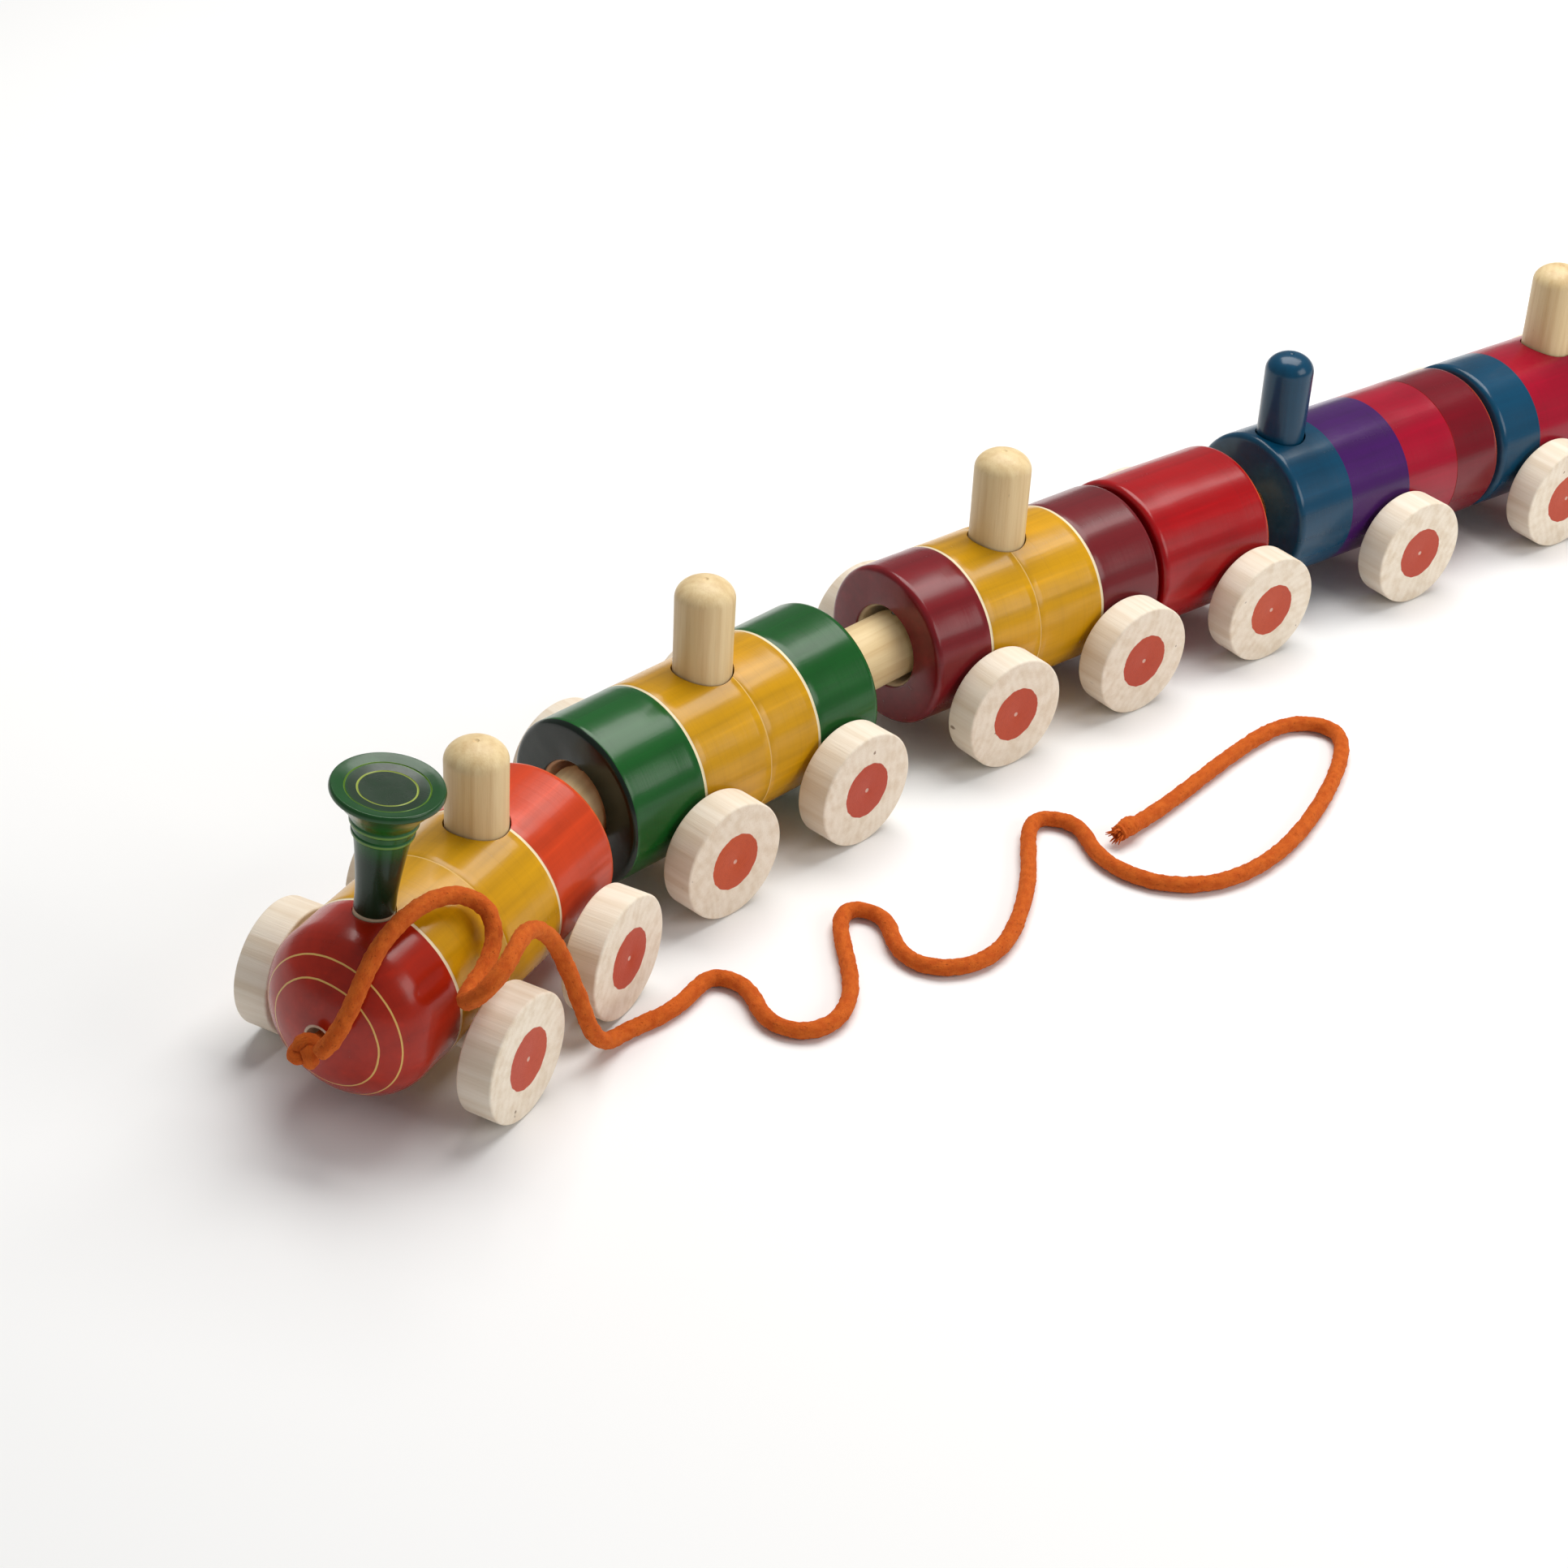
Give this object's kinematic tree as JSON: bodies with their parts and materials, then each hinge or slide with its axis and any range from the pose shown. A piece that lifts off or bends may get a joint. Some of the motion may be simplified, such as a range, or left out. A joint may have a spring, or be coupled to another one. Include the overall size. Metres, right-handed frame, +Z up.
{
  "type": "pull along toy",
  "caption": "Wooden pull along train: turned, lacquered vehicles on plain wood wheels, joined by pinned dowels, with a knotted cotton pull cord.",
  "frame": {"origin": "on the floor, at the middle of the train's plan outline without its cord", "axes": "+X from nose to tail, along the train; +Z up; the cord lies on the -Y side"},
  "size_m": [0.6006, 0.1633, 0.0947],
  "materials": {
    "wheel_wood": "pale unvarnished turned wood with fine end grain; a dull orange-red disc painted in the middle of the outer face",
    "axle_wood": "plain wooden dowel",
    "peg_wood": "smooth waxed pale wood with fine grain and small knots",
    "drawbar_wood": "smooth plain wooden dowel",
    "pin_steel": "plain steel pin",
    "funnel_lacquer": "turned wood in glossy dark green lacquer with thin yellow-green lines",
    "chimney_lacquer": "turned wood in glossy blue lacquer",
    "engine_lacquer": "turned wood in glossy lacquer: red nose with fine cream lines, yellow barrel, orange-red rear",
    "green_wagon_lacquer": "turned wood in glossy green and yellow lacquer with fine white lines",
    "maroon_wagon_lacquer": "turned wood in glossy maroon and yellow lacquer with fine white lines",
    "red_tender_lacquer": "turned wood in glossy bright red lacquer",
    "blue_coach_lacquer": "turned wood in glossy blue, purple and crimson lacquer",
    "tail_coach_lacquer": "turned wood in glossy blue and crimson lacquer",
    "cord_cotton": "orange twisted cotton cord, slightly fuzzy"
  },
  "bodies": {
    "engine": {"end_knot": "cord_cotton", "engine_body": "engine_lacquer", "engine_drawbar": "drawbar_wood", "engine_funnel": "funnel_lacquer", "engine_peg": "peg_wood", "nose_knot": "cord_cotton", "pull_cord": "cord_cotton"},
    "engine_front_wheels": {"engine_front_axle": "axle_wood", "engine_front_left_wheel": "wheel_wood", "engine_front_right_wheel": "wheel_wood"},
    "engine_rear_wheels": {"engine_rear_axle": "axle_wood", "engine_rear_left_wheel": "wheel_wood", "engine_rear_right_wheel": "wheel_wood"},
    "green_wagon": {"green_wagon_body": "green_wagon_lacquer", "green_wagon_coupling_pin": "pin_steel", "green_wagon_drawbar": "drawbar_wood", "green_wagon_peg": "peg_wood"},
    "green_wagon_front_wheels": {"green_wagon_front_axle": "axle_wood", "green_wagon_front_left_wheel": "wheel_wood", "green_wagon_front_right_wheel": "wheel_wood"},
    "green_wagon_rear_wheels": {"green_wagon_rear_axle": "axle_wood", "green_wagon_rear_left_wheel": "wheel_wood", "green_wagon_rear_right_wheel": "wheel_wood"},
    "maroon_wagon": {"maroon_wagon_body": "maroon_wagon_lacquer", "maroon_wagon_coupling_pin": "pin_steel", "maroon_wagon_drawbar": "drawbar_wood", "maroon_wagon_peg": "peg_wood"},
    "maroon_wagon_front_wheels": {"maroon_wagon_front_axle": "axle_wood", "maroon_wagon_front_left_wheel": "wheel_wood", "maroon_wagon_front_right_wheel": "wheel_wood"},
    "maroon_wagon_rear_wheels": {"maroon_wagon_rear_axle": "axle_wood", "maroon_wagon_rear_left_wheel": "wheel_wood", "maroon_wagon_rear_right_wheel": "wheel_wood"},
    "red_tender": {"red_tender_body": "red_tender_lacquer", "red_tender_coupling_pin": "pin_steel", "red_tender_drawbar": "drawbar_wood"},
    "red_tender_front_wheels": {"red_tender_front_axle": "axle_wood", "red_tender_front_left_wheel": "wheel_wood", "red_tender_front_right_wheel": "wheel_wood"},
    "blue_coach": {"blue_coach_body": "blue_coach_lacquer", "blue_coach_chimney": "chimney_lacquer", "blue_coach_coupling_pin": "pin_steel", "blue_coach_drawbar": "drawbar_wood"},
    "blue_coach_front_wheels": {"blue_coach_front_axle": "axle_wood", "blue_coach_front_left_wheel": "wheel_wood", "blue_coach_front_right_wheel": "wheel_wood"},
    "tail_coach": {"tail_coach_body": "tail_coach_lacquer", "tail_coach_coupling_pin": "pin_steel", "tail_coach_peg": "peg_wood"},
    "tail_coach_front_wheels": {"tail_coach_front_axle": "axle_wood", "tail_coach_front_left_wheel": "wheel_wood", "tail_coach_front_right_wheel": "wheel_wood"},
    "tail_coach_rear_wheels": {"tail_coach_rear_axle": "axle_wood", "tail_coach_rear_left_wheel": "wheel_wood", "tail_coach_rear_right_wheel": "wheel_wood"}
  },
  "joints": [
    {"name": "engine_front_wheels_roll", "type": "hinge", "parent": "engine", "child": "engine_front_wheels", "pos_m": [-0.2608, -0.0008, 0.018], "axis": [0.274, -0.9617, 0], "continuous": true},
    {"name": "engine_rear_wheels_roll", "type": "hinge", "parent": "engine", "child": "engine_rear_wheels", "pos_m": [-0.21252, 0.01295, 0.018], "axis": [0.274, -0.9617, 0], "continuous": true},
    {"name": "green_wagon_front_wheels_roll", "type": "hinge", "parent": "green_wagon", "child": "green_wagon_front_wheels", "pos_m": [-0.14902, 0.02434, 0.018], "axis": [-0.0017, -1, 0], "continuous": true},
    {"name": "green_wagon_rear_wheels_roll", "type": "hinge", "parent": "green_wagon", "child": "green_wagon_rear_wheels", "pos_m": [-0.09542, 0.02424, 0.018], "axis": [-0.0017, -1, 0], "continuous": true},
    {"name": "green_wagon_swing", "type": "hinge", "parent": "engine", "child": "green_wagon", "pos_m": [-0.17242, 0.02438, 0.031], "axis": [0, 0, 1], "range_deg": [-4, 36.8]},
    {"name": "maroon_wagon_front_wheels_roll", "type": "hinge", "parent": "maroon_wagon", "child": "maroon_wagon_front_wheels", "pos_m": [-0.02763, 0.02212, 0.018], "axis": [-0.1167, -0.9932, 0], "continuous": true},
    {"name": "maroon_wagon_rear_wheels_roll", "type": "hinge", "parent": "maroon_wagon", "child": "maroon_wagon_rear_wheels", "pos_m": [0.0256, 0.01587, 0.018], "axis": [-0.1167, -0.9932, 0], "continuous": true},
    {"name": "maroon_wagon_swing", "type": "hinge", "parent": "green_wagon", "child": "maroon_wagon", "pos_m": [-0.04492, 0.02415, 0.031], "axis": [0, 0, 1], "range_deg": [-7, 28.1]},
    {"name": "red_tender_front_wheels_roll", "type": "hinge", "parent": "red_tender", "child": "red_tender_front_wheels", "pos_m": [0.0817, 0.00841, 0.018], "axis": [-0.1426, -0.9898, 0], "continuous": true},
    {"name": "red_tender_swing", "type": "hinge", "parent": "maroon_wagon", "child": "red_tender", "pos_m": [0.04914, 0.01311, 0.031], "axis": [0, 0, 1], "range_deg": [-2.5, 5.5]},
    {"name": "blue_coach_front_wheels_roll", "type": "hinge", "parent": "blue_coach", "child": "blue_coach_front_wheels", "pos_m": [0.14912, -0.00188, 0.018], "axis": [-0.1564, -0.9877, 0], "continuous": true},
    {"name": "blue_coach_swing", "type": "hinge", "parent": "red_tender", "child": "blue_coach", "pos_m": [0.10862, 0.00453, 0.031], "axis": [0, 0, 1], "range_deg": [-20.7, 22.3]},
    {"name": "tail_coach_front_wheels_roll", "type": "hinge", "parent": "tail_coach", "child": "tail_coach_front_wheels", "pos_m": [0.21932, -0.01315, 0.018], "axis": [-0.165, -0.9863, 0], "continuous": true},
    {"name": "tail_coach_rear_wheels_roll", "type": "hinge", "parent": "tail_coach", "child": "tail_coach_rear_wheels", "pos_m": [0.27218, -0.022, 0.018], "axis": [-0.165, -0.9863, 0], "continuous": true},
    {"name": "tail_coach_swing", "type": "hinge", "parent": "blue_coach", "child": "tail_coach", "pos_m": [0.20216, -0.01028, 0.031], "axis": [0, 0, 1], "range_deg": [-3.5, 4.5]}
  ]
}
